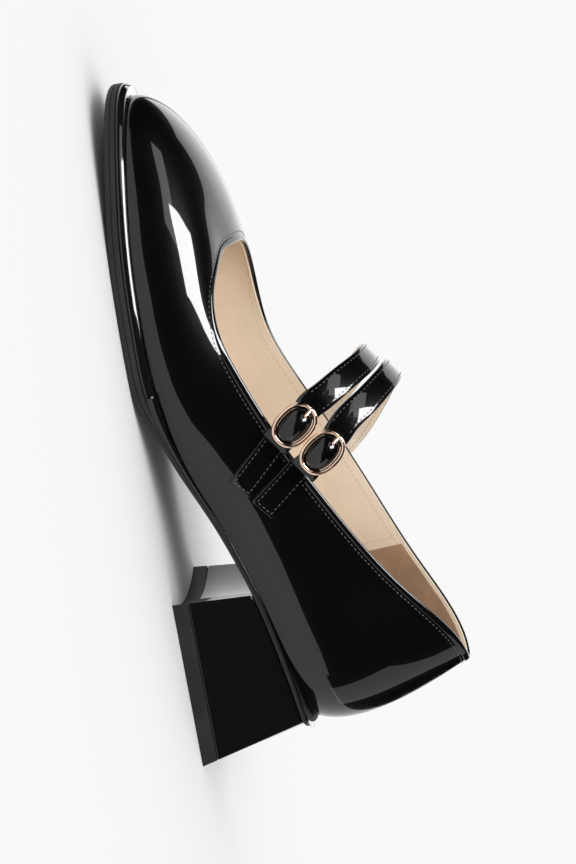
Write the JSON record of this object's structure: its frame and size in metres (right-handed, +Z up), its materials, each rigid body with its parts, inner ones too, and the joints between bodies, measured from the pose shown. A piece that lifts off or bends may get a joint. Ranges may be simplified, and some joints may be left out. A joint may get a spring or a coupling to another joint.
{
  "type": "mary jane shoe",
  "caption": "Left mary jane shoe: patent upper, square toe, block heel, and narrow buckled straps over the instep",
  "frame": {"origin": "on the floor, under the middle of the heel's top lift", "axes": "+X to the toe, +Y to the wearer's left, which is the outer side with the buckles, +Z up"},
  "size_m": [0.2509, 0.0847, 0.1005],
  "materials": {
    "upper_patent": "black patent leather, mirror gloss",
    "outsole_rubber": "matte black rubber",
    "welt_gloss": "glossy black welt edge",
    "insole_leather": "cream lining leather, soft satin",
    "heel_gloss": "lacquered black heel",
    "lift_rubber": "matte black top lift",
    "strap_patent": "black patent leather strap",
    "tab_patent": "black patent leather tab",
    "buckle_metal": "polished rose gold"
  },
  "bodies": {
    "root": {"upper": "upper_patent", "outsole": "outsole_rubber", "welt": "welt_gloss", "insole": "insole_leather", "heel_block": "heel_gloss", "top_lift": "lift_rubber", "strap_front": "strap_patent", "strap_rear": "strap_patent", "tab_front": "tab_patent", "tab_rear": "tab_patent", "buckle_front": "buckle_metal", "buckle_rear": "buckle_metal", "prong_front": "buckle_metal", "prong_rear": "buckle_metal"}
  },
  "joints": []
}
